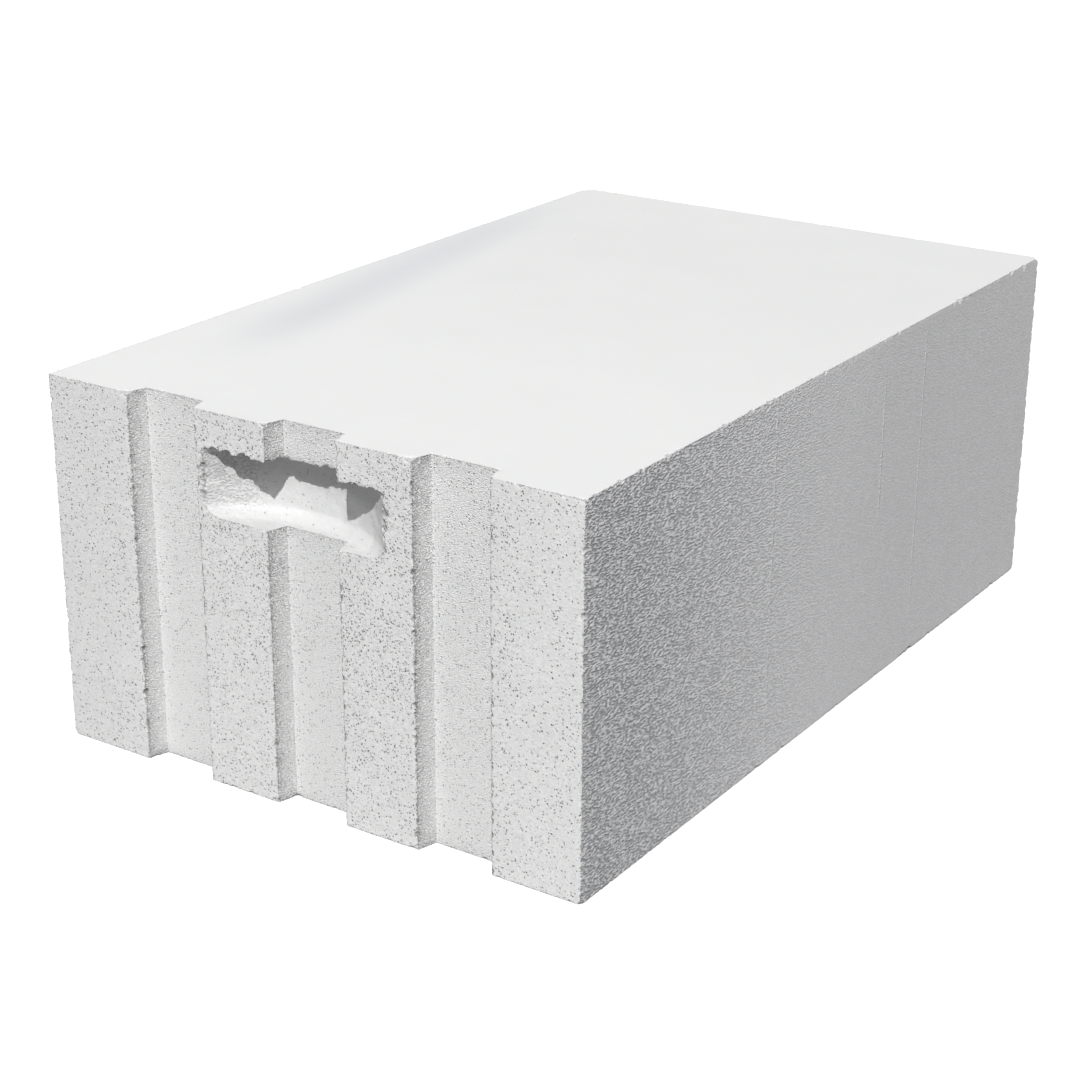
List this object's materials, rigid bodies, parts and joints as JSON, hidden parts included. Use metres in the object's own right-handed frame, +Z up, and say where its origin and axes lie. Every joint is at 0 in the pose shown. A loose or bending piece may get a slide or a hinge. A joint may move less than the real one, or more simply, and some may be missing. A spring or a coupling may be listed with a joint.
{
  "type": "aerated concrete block",
  "caption": "Large solid wall block of aerated concrete with grooves down one end and a milled hand pocket in each end, for masonry walls.",
  "frame": {"origin": "middle of the bed face, at the level of the floor that the block lies on", "axes": "+Z up, +X across the width, -Y out of the grooved end"},
  "size_m": [0.4, 0.625, 0.25],
  "materials": {
    "aerated_concrete": "matt, finely porous"
  },
  "bodies": {
    "root": {"block": "aerated_concrete"}
  },
  "joints": []
}
